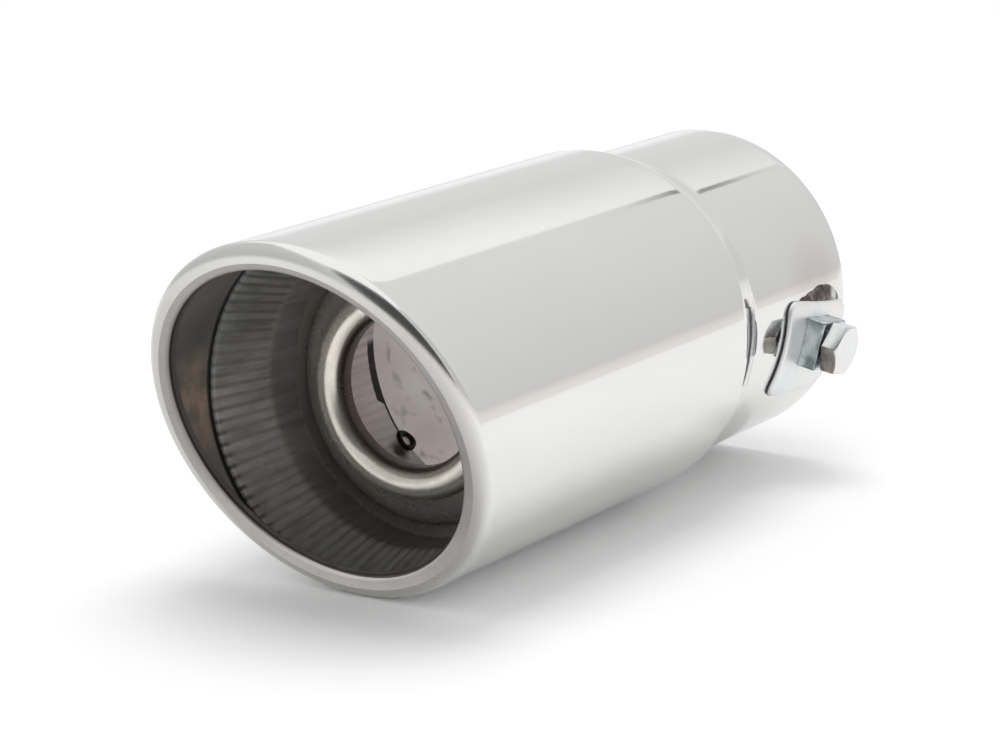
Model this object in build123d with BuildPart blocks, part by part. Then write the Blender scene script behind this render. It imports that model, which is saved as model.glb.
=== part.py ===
"""Clip-on exhaust tip: a slant-cut shell with a fluted inner sleeve, a baffle ring and a side clamp bolt.

Millimetres, +Z up. The tube axis is the Y axis: the neck's open end is at the origin and the mouth faces -Y.
The long side of the slanted mouth is on top, and the clamp bolt stands out on the +X side.
Distances along the tube are measured from the neck's open end towards the mouth.
"""
import os
from math import asin, atan2, cos, degrees, pi, radians, sin, sqrt, tan

from build123d import *

# Shell: a straight neck, a short cone and a straight body, all from one tube
body_radius = 35.0
shell_wall = 1.0
neck_length = 39.3
cone_length = 9.0
cone_depth = 2.8

# Mouth: a flat land in a slanted plane, rounded outside and turned in at the opening
mouth_distance = 146.3
mouth_slant = 22.2
lip_round = 2.6
lip_width = 5.0
lip_return = 2.5
opening_bevel = 0.7

# Fluted sleeve: thin corrugated sheet, a funnel behind the mouth that narrows to a straight waist
sleeve_clearance = 0.1
sleeve_sheet = 0.6
pleat_count = 48
pleat_depth = 0.3
sleeve_setback = 2.0
sleeve_length = 47.0
flare_length = 12.6
flare_depth = 4.2

# Tack weld on the sleeve's rear edge
tack_radius = 2.4
tack_height = 1.0
tack_bevel = 0.6
tack_angle = 222.0
tack_sides = 8

# Baffle ring: a drawn disc with a raised, rolled bore, pressed into the waist, sized at its front face
baffle_sheet = 0.8
baffle_clearance = 0.1
baffle_distance = 110.0
web_width = 2.3
flank_rise = 4.2
bead_radius = 2.3
bead_lean = 10.0
bead_facets = 3
bore_radius = 14.5
bore_setback = 2.2

# Clamp: a curved saddle plate with a square weld nut, and a hex bolt that presses on the pipe in the neck
clamp_distance = 14.3
clamp_angle = -10.7
clamp_tilt = -8.0
plate_width = 20.0
plate_length = 25.0
plate_drop = 1.9
plate_thickness = 1.0
plate_corner = 3.0
seat_clearance = 0.05
thread_radius = 3.0
thread_clearance = 0.08
passage_clearance = 0.3
nut_width = 10.2
nut_height = 3.6
nut_chamfer = 0.4
wrench_size = 10.0
head_height = 3.4
head_gap = 0.5
head_turn = -11.0
head_chamfer_angle = 30.0
head_face_ratio = 0.95
tip_setback = 0.1
tip_chamfer = 0.6

# Weld seam along the plate's upper edge
seam_length = 18.0
seam_width = 3.4
seam_overlap = 0.6
seam_height = 0.6
seam_bevel = 0.8

# Radii and distances that follow from the sizes above
shell_bore = body_radius - shell_wall
neck_radius = body_radius - cone_depth
neck_bore = neck_radius - shell_wall
cone_angle = atan2(cone_depth, cone_length)
opening_radius = body_radius - lip_width
hollow_bevel = (2 - sqrt(2)) * (lip_round - shell_wall)
lip_first_bevel = (2 - sqrt(2)) * lip_round
lip_second_bevel = (tan(pi / 8) - tan(pi / 16)) * lip_round
mouth_reach = body_radius * tan(radians(mouth_slant))
beyond_mouth = mouth_distance + mouth_reach + lip_round
behind_mouth = mouth_distance - mouth_reach - lip_return - lip_round
sleeve_outer = shell_bore - sleeve_clearance
waist_outer = sleeve_outer - flare_depth
waist_inner = waist_outer - pleat_depth - sleeve_sheet
sleeve_front = mouth_distance - mouth_reach - sleeve_setback
waist_front = sleeve_front - flare_length
sleeve_rear = sleeve_front - sleeve_length
rim_radius = waist_inner - baffle_clearance
groove_radius = rim_radius - web_width
bead_start = baffle_distance + flank_rise
bead_centre = Vector(
    bore_radius + bead_radius * cos(radians(bead_lean)),
    -bead_start - bead_radius * sin(radians(bead_lean)),
)
plate_seat = neck_radius + seat_clearance
plate_top = plate_seat + plate_thickness
nut_seat = plate_top + seat_clearance
nut_top = nut_seat + nut_height
head_seat = nut_top + head_gap
head_top = head_seat + head_height
bolt_tip = neck_bore + tip_setback
passage_radius = thread_radius + passage_clearance


def tube_section(distance):
    """Plane across the tube at a distance from the neck's open end; its normal points to the mouth."""
    return Plane.XZ.offset(distance)


def clamp_plane(angle, tilt):
    """Plane across a spoke at an angle about the tube's axis; x runs along the tube, turned by a tilt."""
    turn = radians(angle)
    upward = Vector(-sin(turn), 0, cos(turn))
    along = Vector(0, 1, 0) * cos(radians(tilt)) + upward * sin(radians(tilt))
    return Plane(origin=(0, -clamp_distance, 0), x_dir=along, z_dir=(cos(turn), 0, sin(turn)))


def mouth_plane(inset):
    """The mouth's slanted plane, moved back into the tube by inset; its normal points out of the mouth."""
    slant = radians(mouth_slant)
    normal = Vector(0, -cos(slant), -sin(slant))
    return Plane(origin=(0, -mouth_distance, 0), x_dir=(1, 0, 0), z_dir=normal).offset(-inset)


def line_beside(points, distance):
    """Points of a line that runs beside another, to the right of it, with mitred corners."""
    normals = []
    for start, end in zip(points, points[1:]):
        course = (end - start).normalized()
        normals.append(Vector(course.Y, -course.X))
    beside = [points[0] + normals[0] * distance]
    for corner, before, after in zip(points[1:], normals, normals[1:]):
        beside.append(corner + (before + after) * (distance / (1 + before.dot(after))))
    beside.append(points[-1] + normals[-1] * distance)
    return beside


def shell_solid(inset, overrun):
    """Neck, cone and body as one solid, inset from the shell's skin and cut off by the slanted mouth."""
    shift = inset * tan(cone_angle / 2)
    neck_r = neck_radius - inset
    body_r = body_radius - inset
    with BuildPart() as solid:
        with BuildSketch(Plane.XY):
            with BuildLine():
                Polyline(
                    (0, overrun),
                    (neck_r, overrun),
                    (neck_r, -neck_length - shift),
                    (body_r, -neck_length - cone_length - shift),
                    (body_r, -beyond_mouth),
                    (0, -beyond_mouth),
                    close=True,
                )
            make_face()
        revolve(axis=Axis.Y)
        split(bisect_by=mouth_plane(inset), keep=Keep.BOTTOM)
    return solid.part


def mouth_face(piece):
    """The flat face that closes a piece at the mouth."""
    return piece.faces().filter_by(GeomType.PLANE).sort_by(Axis.Y)[0]


def pleated_funnel(inset):
    """The sleeve's waist and funnel as one pleated solid, inset from the sleeve's skin."""
    stations = ((sleeve_rear, waist_outer), (waist_front, waist_outer), (sleeve_front, sleeve_outer))
    with BuildPart() as funnel:
        for distance, crest in stations:
            points = []
            for step in range(2 * pleat_count):
                radius = crest - inset - pleat_depth * (step % 2)
                turn = pi * step / pleat_count
                points.append((radius * cos(turn), radius * sin(turn)))
            with BuildSketch(tube_section(distance)):
                with BuildLine():
                    Polyline(*points, close=True)
                make_face()
        loft(ruled=True)
    return funnel.part


# Planes across the bolt, for the bolt itself and for the plate and nut, and one along it
bolt_across = clamp_plane(clamp_angle, 0)
plate_across = clamp_plane(clamp_angle, clamp_tilt)
bolt_along = Plane(origin=bolt_across.origin, x_dir=bolt_across.z_dir, z_dir=bolt_across.y_dir)
bolt_axis = Axis(bolt_across.origin, bolt_across.z_dir)

# The sheet at the mouth, turned in round the opening and cut parallel to the mouth
with BuildPart() as turned_edge:
    with BuildSketch(tube_section(behind_mouth)):
        Circle(opening_radius + shell_wall)
        Circle(opening_radius, mode=Mode.SUBTRACT)
    extrude(amount=beyond_mouth - behind_mouth)
    split(bisect_by=mouth_plane(lip_return), keep=Keep.TOP)

# Space inside the shell, open past the neck's end, with the turned edge left standing in it
with BuildPart() as shell_hollow:
    add(shell_solid(shell_wall, shell_wall))
    chamfer(mouth_face(shell_hollow).outer_wire().edges(), length=hollow_bevel)
    add(turned_edge.part, mode=Mode.SUBTRACT)

# Outer shell: neck, cone, body and lip in one piece; the lip's round is a bevel with one more on each side
with BuildPart() as outer_shell:
    add(shell_solid(0, 0))
    chamfer(mouth_face(outer_shell).outer_wire().edges(), length=lip_first_bevel)
    first_bevel = faces().filter_by(GeomType.BSPLINE)[0]
    chamfer(first_bevel.edges().filter_by(GeomType.BSPLINE), length=lip_second_bevel)
    with BuildSketch(tube_section(behind_mouth)):
        Circle(opening_radius)
    extrude(amount=beyond_mouth - behind_mouth, mode=Mode.SUBTRACT)
    chamfer(mouth_face(outer_shell).inner_wires()[0].edges(), length=opening_bevel)
    add(shell_hollow.part, mode=Mode.SUBTRACT)
    with BuildSketch(bolt_across):
        Circle(passage_radius)
    extrude(amount=body_radius, mode=Mode.SUBTRACT)

# Tack weld: a low many-sided drop across the sleeve's rear edge
tack_turn = radians(tack_angle)
tack_plane = Plane(
    origin=(0, -sleeve_rear, 0),
    x_dir=(0, 1, 0),
    z_dir=(cos(tack_turn), 0, sin(tack_turn)),
)
tack_foot = sqrt(waist_outer**2 - tack_radius**2)
tack_crown = waist_inner - tack_height
with BuildPart() as tack_weld:
    with BuildSketch(tack_plane.offset(tack_crown)):
        RegularPolygon(tack_radius, tack_sides)
    extrude(amount=tack_foot - tack_crown)
    chamfer(faces().sort_by(Axis(tack_plane.origin, tack_plane.z_dir))[0].edges(), length=tack_bevel)

# Fluted sleeve: pleated sheet from the funnel's wide end to the waist's rear edge, with its tack weld
with BuildPart() as fluted_sleeve:
    add(pleated_funnel(0))
    add(pleated_funnel(sleeve_sheet), mode=Mode.SUBTRACT)
    add(tack_weld.part)

# Baffle ring: flat web, groove and raised flank from one disc, with its inner edge rolled into a bead
bead_points = []
for step in range(bead_facets + 1):
    turn = radians(bead_lean - 180 * step / bead_facets)
    bead_points.append(bead_centre + Vector(cos(turn), sin(turn)) * bead_radius)
sheet_face = [
    Vector(rim_radius, -baffle_distance),
    Vector(groove_radius, -baffle_distance),
    bead_points[0],
]
sheet_back = line_beside(sheet_face, baffle_sheet)
bore_end = Vector(bore_radius, bead_points[-1].Y + bore_setback)
with BuildPart() as baffle_ring:
    with BuildSketch(Plane.XY):
        with BuildLine():
            Polyline(*sheet_face, *bead_points[1:], bore_end, *reversed(sheet_back), close=True)
        make_face()
    revolve(axis=Axis.Y)

# Weld seam: a flat bead of metal between the neck and the plate's upper edge
plate_edge = plate_width / 2 - plate_drop
seam_plane = clamp_plane(clamp_angle + degrees(asin(plate_edge / plate_top)), clamp_tilt)
with BuildPart() as weld_seam:
    with BuildSketch(seam_plane.offset(plate_top + seam_height)):
        with Locations((0, seam_width / 2 - seam_overlap)):
            Rectangle(seam_length, seam_width)
        chamfer(vertices(), length=seam_bevel)
    extrude(amount=neck_bore - plate_top - seam_height)
    chamfer(faces().sort_by(Axis(seam_plane.origin, seam_plane.z_dir))[-1].edges(), length=seam_bevel)
    with BuildSketch(tube_section(clamp_distance - plate_length)):
        Circle(plate_seat)
    extrude(amount=2 * plate_length, mode=Mode.SUBTRACT)

# Clamp plate: a saddle bent to the neck, with rounded corners, the bolt's passage and its weld seam
with BuildPart() as clamp_plate:
    with BuildSketch(tube_section(clamp_distance - plate_length)):
        Circle(plate_top)
        Circle(plate_seat, mode=Mode.SUBTRACT)
    extrude(amount=2 * plate_length)
    with BuildSketch(plate_across):
        with Locations((0, -plate_drop)):
            RectangleRounded(plate_length, plate_width, plate_corner)
    extrude(amount=head_top, mode=Mode.INTERSECT)
    with BuildSketch(bolt_across):
        Circle(passage_radius)
    extrude(amount=head_top, mode=Mode.SUBTRACT)
    add(weld_seam.part)

# Weld nut: square, with its foot fitted to the curved plate
with BuildPart() as weld_nut:
    with BuildSketch(plate_across):
        Rectangle(nut_width, nut_width)
    extrude(amount=nut_top)
    chamfer(faces().sort_by(bolt_axis)[-1].edges(), length=nut_chamfer)
    with BuildSketch(tube_section(clamp_distance - nut_width)):
        Circle(nut_seat)
    extrude(amount=2 * nut_width, mode=Mode.SUBTRACT)
    with BuildSketch(bolt_across):
        Circle(thread_radius + thread_clearance)
    extrude(amount=head_top, mode=Mode.SUBTRACT)

# Clamp bolt: hex head with a turned face, plain shank of the thread's size and a chamfered tip
corner_radius = wrench_size / sqrt(3)
face_radius = head_face_ratio * wrench_size / 2
face_drop = (corner_radius - face_radius) * tan(radians(head_chamfer_angle))
with BuildPart() as clamp_bolt:
    with BuildSketch(bolt_across.offset(bolt_tip)):
        Circle(thread_radius)
    extrude(amount=head_seat - bolt_tip)
    chamfer(edges().sort_by(bolt_axis)[0], length=tip_chamfer)
    with BuildSketch(bolt_across.offset(head_seat)):
        RegularPolygon(wrench_size / 2, 6, major_radius=False, rotation=head_turn)
    extrude(amount=head_height)
    with BuildSketch(bolt_along):
        with BuildLine():
            Polyline(
                (bolt_tip, 0),
                (bolt_tip, corner_radius),
                (head_top - face_drop, corner_radius),
                (head_top, face_radius),
                (head_top, 0),
                close=True,
            )
        make_face()
    revolve(axis=bolt_axis, mode=Mode.INTERSECT)

pieces = {
    "outer_shell": outer_shell,
    "fluted_sleeve": fluted_sleeve,
    "baffle_ring": baffle_ring,
    "clamp_plate": clamp_plate,
    "weld_nut": weld_nut,
    "clamp_bolt": clamp_bolt,
}
os.makedirs("parts", exist_ok=True)
for name, piece in pieces.items():
    piece.part.label = name
    export_step(piece.part, f"parts/{name}.step")
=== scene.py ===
"""Looks of the exhaust tip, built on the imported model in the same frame.

The tube axis is Y with the mouth towards -Y, +Z is up, and the clamp is on the +X side.
Sizes and places on the object are written in millimetres, as in the part's source, and turned to metres
where a mesh or a node is made. The studio round the object is written in metres.
"""
import random
from math import acos, atan2, cos, pi, radians, sin, sqrt, tan

import bmesh
import bpy
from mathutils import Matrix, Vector


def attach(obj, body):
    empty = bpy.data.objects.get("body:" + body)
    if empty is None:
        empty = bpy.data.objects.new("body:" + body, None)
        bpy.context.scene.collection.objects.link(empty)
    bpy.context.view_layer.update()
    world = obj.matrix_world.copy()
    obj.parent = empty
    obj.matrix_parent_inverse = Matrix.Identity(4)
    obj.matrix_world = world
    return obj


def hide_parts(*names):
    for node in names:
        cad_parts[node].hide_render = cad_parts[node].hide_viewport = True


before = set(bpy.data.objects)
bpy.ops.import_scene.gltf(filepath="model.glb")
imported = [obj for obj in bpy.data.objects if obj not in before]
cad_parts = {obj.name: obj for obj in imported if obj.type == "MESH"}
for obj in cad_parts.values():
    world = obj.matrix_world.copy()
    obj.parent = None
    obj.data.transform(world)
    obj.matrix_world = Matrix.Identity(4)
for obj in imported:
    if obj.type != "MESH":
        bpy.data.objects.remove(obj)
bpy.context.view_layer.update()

MM = 0.001

# Shell sizes
BODY_RADIUS = 35.0
NECK_RADIUS = 32.2
WALL = 1.0
NECK_LENGTH = 39.3
CONE_LENGTH = 9.0
CONE_ROUND = 6.0
CONE_ANGLE = atan2(BODY_RADIUS - NECK_RADIUS, CONE_LENGTH)
CONE_START = NECK_LENGTH - CONE_ROUND * tan(CONE_ANGLE / 2)
CONE_END = NECK_LENGTH + CONE_LENGTH + CONE_ROUND * tan(CONE_ANGLE / 2)
MOUTH_DISTANCE = 146.3
MOUTH_SLANT = radians(22.2)
LIP_ROUND = 2.6
OPENING_RADIUS = 30.0
OPENING_ROUND = 1.0
LIP_RETURN = 2.5
EDGE_ROUND = 0.2
SHELL_COLUMNS = 288

# Sleeve sizes
SLEEVE_OUTER = 33.88
SLEEVE_SHEET = 0.6
WAIST_OUTER = 29.68
PLEATS = 96
PLEAT_STEPS = 6
PLEAT_DEPTH = 0.3
PLEAT_START = 1.0
SLEEVE_FRONT = 130.0
WAIST_FRONT = 117.4
SLEEVE_REAR = 83.0
WAIST_ROUND = 1.5
TACK_ANGLE = radians(222.0)

# Baffle sizes
BAFFLE_RIM = 28.7
BAFFLE_SHEET = 0.8
BAFFLE_FACE = 110.0
BAFFLE_COLUMNS = 192
GROOVE_RADIUS = 26.4
GROOVE_ROUND = 0.7
BEAD_START = 113.5
BEAD_ROUND = 3.1
BEAD_LEAN = radians(10.0)
BORE_RADIUS = 14.5
BORE_SETBACK = 2.2

# Clamp sizes
CLAMP_DISTANCE = 14.3
CLAMP_TURN = radians(-10.7)
CLAMP_TILT = radians(-8.0)
PLATE_LENGTH = 25.0
PLATE_WIDTH = 20.0
PLATE_DROP = 1.9
PLATE_UPPER = PLATE_WIDTH / 2 - PLATE_DROP
PLATE_LOWER = -PLATE_WIDTH / 2 - PLATE_DROP
PLATE_CORNER = 3.0
PLATE_SEAT = 32.25
PLATE_TOP = 33.25
NUT_WIDTH = 10.2
NUT_SEAT = 33.3
NUT_TOP = 36.9
HEAD_SEAT = 37.4
HEAD_TOP = 40.8
HEAD_TURN = radians(-11.0)
BOLT_TIP = 31.3
WRENCH_SIZE = 10.0
THREAD_RADIUS = 3.0
THREAD_DEPTH = 0.5
THREAD_PITCH = 1.0
PASSAGE_RADIUS = 3.3

# Marks on the metal
HEAT_PLACE = (31.9, -12.5, 4.6)
BROWN_PLACE = (-33.7, -134.8, -2.0)
NOISE_RANGE = (0.3, 0.7)

# Material indices of the shell
POLISHED, SATIN, RAW = range(3)

# Studio
FLOOR_HEIGHT = -BODY_RADIUS
WHITE = (1.0, 1.0, 1.0)

# Light cards: name, azimuths of the two edges, pairs of an elevation and a brightness, distance in metres
CARDS = (
    ("back_right_card", (-1.0, 62.0), ((0.0, 0.66), (30.0, 0.77), (50.0, 0.8)), 5.0),
    ("right_card", (62.0, 92.0), ((0.0, 0.56), (50.0, 0.6)), 5.0),
    ("dark_card", (96.0, 175.0), ((0.0, 0.15), (5.0, 0.07), (42.0, 0.07), (52.0, 0.25), (58.0, 0.6)), 5.0),
    ("left_card", (182.0, 300.0), ((0.0, 0.6), (50.0, 0.62)), 5.0),
    (
        "back_left_card",
        (-60.0, -1.0),
        ((0.0, 0.98), (5.0, 0.93), (9.0, 0.76), (22.0, 0.74), (28.0, 0.85), (33.0, 0.98), (40.0, 1.0)),
        5.0,
    ),
    ("card_frame", (-1.2, 1.2), ((0.0, 0.66), (29.5, 0.76), (30.3, 0.3), (31.0, 0.3), (31.9, 0.77)), 4.9),
)


# Mesh helpers


def metres(*lengths):
    """Lengths in millimetres turned to metres."""
    return tuple(length * MM for length in lengths)


def full_turn(steps):
    """Angles that divide a full turn."""
    return [2 * pi * step / steps for step in range(steps)]


def arc(centre, radius, start, end, steps):
    """Points of an arc in a plane, from one angle to another."""
    points = []
    for step in range(steps + 1):
        angle = start + (end - start) * step / steps
        points.append((centre[0] + radius * cos(angle), centre[1] + radius * sin(angle)))
    return points


def between(first, last, steps):
    """Points that divide a straight run, without its two ends."""
    return [first + (last - first) * step / steps for step in range(1, steps)]


def around_axis(profile, turn):
    """A profile of radii and places along the tube, put at an angle about the tube's axis."""
    return [(radius * cos(turn), y, radius * sin(turn)) for radius, y in profile]


def skin(name, columns, around=True, capped=False, slots=None):
    """A mesh piece from columns of points in millimetres, with quads between neighbours all the way round.

    With around, each column is a closed loop. With capped, the columns' first points are closed by a fan,
    and so are their last ones. slots gives the material index of each strip along the columns.
    """
    count = len(columns)
    length = len(columns[0])
    points = [Vector(point) * MM for column in columns for point in column]
    faces = []
    indices = []
    for number in range(count):
        this = number * length
        following = (number + 1) % count * length
        for strip in range(length if around else length - 1):
            after = (strip + 1) % length
            faces.append((this + strip, following + strip, following + after, this + after))
            indices.append(slots[strip] if slots else 0)
    if capped:
        for row, turned in ((0, False), (length - 1, True)):
            ring = [number * length + row for number in range(count)]
            points.append(sum((points[index] for index in ring), Vector()) / count)
            for pair in zip(ring, ring[1:] + ring[:1]):
                corners = pair if turned else pair[::-1]
                faces.append((*corners, len(points) - 1))
                indices.append(0)
    mesh = bpy.data.meshes.new(name)
    mesh.from_pydata(points, [], faces)
    mesh.polygons.foreach_set("material_index", indices)
    mesh.polygons.foreach_set("use_smooth", [True] * len(faces))
    outward = bmesh.new()
    outward.from_mesh(mesh)
    bmesh.ops.recalc_face_normals(outward, faces=outward.faces)
    outward.to_mesh(mesh)
    outward.free()
    mesh.update()
    piece = bpy.data.objects.new(name, mesh)
    bpy.context.scene.collection.objects.link(piece)
    return piece


def sharpen(piece, degrees):
    """Shows edges steeper than an angle as sharp."""
    piece.data.set_sharp_from_angle(angle=radians(degrees))


def dress(piece, node, body, slot, *materials):
    """Gives a piece its materials, puts it in the place of a CAD node and lets it ride on a body."""
    for material in materials:
        piece.data.materials.append(material)
    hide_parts(node)
    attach(piece, body)


# Node helpers


class Nodes:
    """Short calls to add and link the nodes of a tree."""

    def __init__(self, tree):
        self.tree = tree

    def add(self, kind, **settings):
        """A new node with its settings."""
        node = self.tree.nodes.new(kind)
        for key, value in settings.items():
            setattr(node, key, value)
        return node

    def link(self, source, target):
        """Joins an output to an input."""
        self.tree.links.new(source, target)

    def split(self, vector):
        """The three coordinates of a vector."""
        node = self.add("ShaderNodeSeparateXYZ")
        self.link(vector, node.inputs["Vector"])
        return node.outputs

    def ramp(self, source, *stops):
        """Colours by value: each stop is a position and a colour or grey."""
        node = self.add("ShaderNodeValToRGB")
        elements = node.color_ramp.elements
        while len(elements) < len(stops):
            elements.new(1.0)
        for element, (position, colour) in zip(elements, stops):
            element.position = position
            element.color = (colour, colour, colour, 1.0) if isinstance(colour, float) else (*colour, 1.0)
        self.link(source, node.inputs["Fac"])
        return node.outputs["Color"]

    def span(self, source, start, end):
        """A value mapped from one range to another and held inside it; each range is a pair."""
        node = self.add("ShaderNodeMapRange")
        for key, value in zip(("From Min", "From Max", "To Min", "To Max"), (*start, *end)):
            node.inputs[key].default_value = value
        self.link(source, node.inputs["Value"])
        return node.outputs["Result"]

    def math(self, operation, first, second=0.0):
        """Arithmetic on an output and another output or a number."""
        node = self.add("ShaderNodeMath", operation=operation)
        self.link(first, node.inputs[0])
        if isinstance(second, (int, float)):
            node.inputs[1].default_value = second
        else:
            self.link(second, node.inputs[1])
        return node.outputs[0]

    def times(self, first, *others):
        """Values multiplied together."""
        product = first
        for value in others:
            product = self.math("MULTIPLY", product, value)
        return product

    def mix(self, share, first, second, blend="MIX"):
        """Two colours mixed by a share; each colour is an output or a tuple."""
        node = self.add("ShaderNodeMix", data_type="RGBA", blend_type=blend)
        for socket, value in ((node.inputs[0], share), (node.inputs[6], first), (node.inputs[7], second)):
            if isinstance(value, tuple):
                socket.default_value = (*value, 1.0)
            elif isinstance(value, float):
                socket.default_value = value
            else:
                self.link(value, socket)
        return node.outputs[2]

    def shaded(self, colour, tone):
        """A colour multiplied by a tone."""
        return self.mix(1.0, colour, tone, "MULTIPLY")


class Paint(Nodes):
    """A material of the object, patterned by the place on it. Its points and depths are in millimetres."""

    def __init__(self, name, colour, metallic, roughness):
        self.material = bpy.data.materials.new(name)
        self.material.use_nodes = True
        super().__init__(self.material.node_tree)
        self.shader = self.tree.nodes["Principled BSDF"]
        self.shader.inputs["Base Color"].default_value = (*colour, 1.0)
        self.shader.inputs["Metallic"].default_value = metallic
        self.shader.inputs["Roughness"].default_value = roughness
        self.place = self.add("ShaderNodeTexCoord").outputs["Object"]

    def axes(self):
        """The three object coordinates, in metres."""
        return self.split(self.place)

    def stretched(self, scale):
        """Object coordinates scaled by axis."""
        node = self.add("ShaderNodeMapping")
        node.inputs["Scale"].default_value = scale
        self.link(self.place, node.inputs["Vector"])
        return node.outputs["Vector"]

    def noise(self, scale, detail=3.0, rough=0.6, vector=None):
        """A noise pattern in object space."""
        node = self.add("ShaderNodeTexNoise")
        node.inputs["Scale"].default_value = scale
        node.inputs["Detail"].default_value = detail
        node.inputs["Roughness"].default_value = rough
        self.link(vector or self.place, node.inputs["Vector"])
        return node.outputs["Fac"]

    def radius(self):
        """Distance from the tube's axis, in metres."""
        x, _, z = self.axes()
        square = self.math("ADD", self.math("MULTIPLY", x, x), self.math("MULTIPLY", z, z))
        return self.math("POWER", square, 0.5)

    def stripes(self, count):
        """Stripes along the tube, a number of them around it, from 0 to 1."""
        x, _, z = self.axes()
        phase = self.math("MULTIPLY", self.math("ARCTAN2", z, x), count)
        return self.span(self.math("SINE", phase), (-1.0, 1.0), (0.0, 1.0))

    def away(self, point, direction):
        """How far a place lies from a point along a direction, in metres."""
        offset = self.add("ShaderNodeVectorMath", operation="SUBTRACT")
        self.link(self.place, offset.inputs[0])
        offset.inputs[1].default_value = metres(*point)
        node = self.add("ShaderNodeVectorMath", operation="DOT_PRODUCT")
        self.link(offset.outputs[0], node.inputs[0])
        node.inputs[1].default_value = direction
        return node.outputs["Value"]

    def mouth_depth(self):
        """Depth behind the mouth's slanted plane, in metres."""
        return self.away((0.0, -MOUTH_DISTANCE, 0.0), (0.0, cos(MOUTH_SLANT), sin(MOUTH_SLANT)))

    def distance(self, point):
        """Distance from a point, in metres."""
        node = self.add("ShaderNodeVectorMath", operation="DISTANCE")
        self.link(self.place, node.inputs[0])
        node.inputs[1].default_value = metres(*point)
        return node.outputs["Value"]

    def bump(self, height, strength, depth):
        """Small relief on the shader's normal."""
        node = self.add("ShaderNodeBump")
        node.inputs["Strength"].default_value = strength
        node.inputs["Distance"].default_value = depth * MM
        self.link(height, node.inputs["Height"])
        self.link(node.outputs["Normal"], self.shader.inputs["Normal"])

    def colour(self, source):
        """Feeds the base colour."""
        self.link(source, self.shader.inputs["Base Color"])

    def roughness(self, source):
        """Feeds the roughness."""
        self.link(source, self.shader.inputs["Roughness"])


# Materials


def polished_steel():
    """Mirror-polished steel with faint haze, rougher on the lip with painted shade there, less on top, and
    tinted by heat at the weld seam.
    """
    paint = Paint("polished_steel", (0.85, 0.845, 0.835), metallic=1.0, roughness=0.06)
    _, _, z = paint.axes()
    depth = paint.mouth_depth()
    haze = paint.noise(60.0, detail=5.0, vector=paint.stretched((1.0, 0.35, 1.0)))
    bright = paint.ramp(haze, (0.3, (0.845, 0.84, 0.828)), (0.7, (0.87, 0.865, 0.858)))
    # Painted shade: the lip's colour is darkened towards grey, less on top
    lip = paint.span(depth, metres(0.2, 1.8), (0.85, 0.0))
    less_on_top = paint.span(z, metres(20.0, 34.0), (1.0, 0.35))
    lip_shaded = paint.mix(paint.times(lip, less_on_top), bright, (0.56, 0.55, 0.53))
    heat = paint.span(paint.distance(HEAT_PLACE), metres(5.0, 12.0), (0.4, 0.0))
    paint.colour(paint.mix(heat, lip_shaded, (0.7, 0.61, 0.57)))
    soft_lip = paint.span(depth, metres(0.4, 3.2), (0.22, 0.0))
    paint.roughness(paint.math("ADD", paint.span(haze, (0.3, 0.75), (0.045, 0.085)), soft_lip))
    return paint.material


def satin_steel():
    """Brushed land of the lip with painted light, brighter below, fine grain, a few pits and painted shade
    along its inner edge.
    """
    paint = Paint("satin_steel", (0.5, 0.49, 0.47), metallic=0.9, roughness=0.45)
    x, _, z = paint.axes()
    depth = paint.mouth_depth()
    # Painted light and shade: the land is brightest at the bottom and darker towards the top
    land = paint.ramp(
        paint.span(z, metres(-34.0, 34.0), (0.0, 1.0)),
        (0.02, (0.98, 0.96, 0.93)),
        (0.12, (0.72, 0.7, 0.67)),
        (0.28, (0.46, 0.445, 0.42)),
        (0.5, (0.4, 0.385, 0.365)),
        (0.9, (0.44, 0.43, 0.415)),
    )
    patches = paint.noise(110.0, detail=5.0)
    patched = paint.shaded(land, paint.ramp(patches, (0.3, 0.88), (0.7, 1.0)))
    pits = paint.span(paint.noise(1900.0, detail=1.0, rough=0.4), (0.74, 0.79), (0.0, 0.6))
    pitted = paint.mix(pits, patched, (0.25, 0.23, 0.21))
    # Painted shade: a dark line along the land's inner edge, wider on the right
    wider_on_right = paint.span(x, metres(-10.0, 10.0), metres(0.0, 0.32))
    rim = paint.span(paint.math("ADD", depth, wider_on_right), metres(0.5, 0.6), (0.0, 0.85))
    edge = paint.times(rim, paint.span(depth, metres(1.0, 1.4), (1.0, 0.45)))
    paint.colour(paint.mix(edge, pitted, (0.06, 0.055, 0.05)))
    grain = paint.noise(1400.0)
    paint.roughness(paint.span(grain, NOISE_RANGE, (0.4, 0.52)))
    paint.bump(grain, strength=0.12, depth=0.1)
    return paint.material


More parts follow.
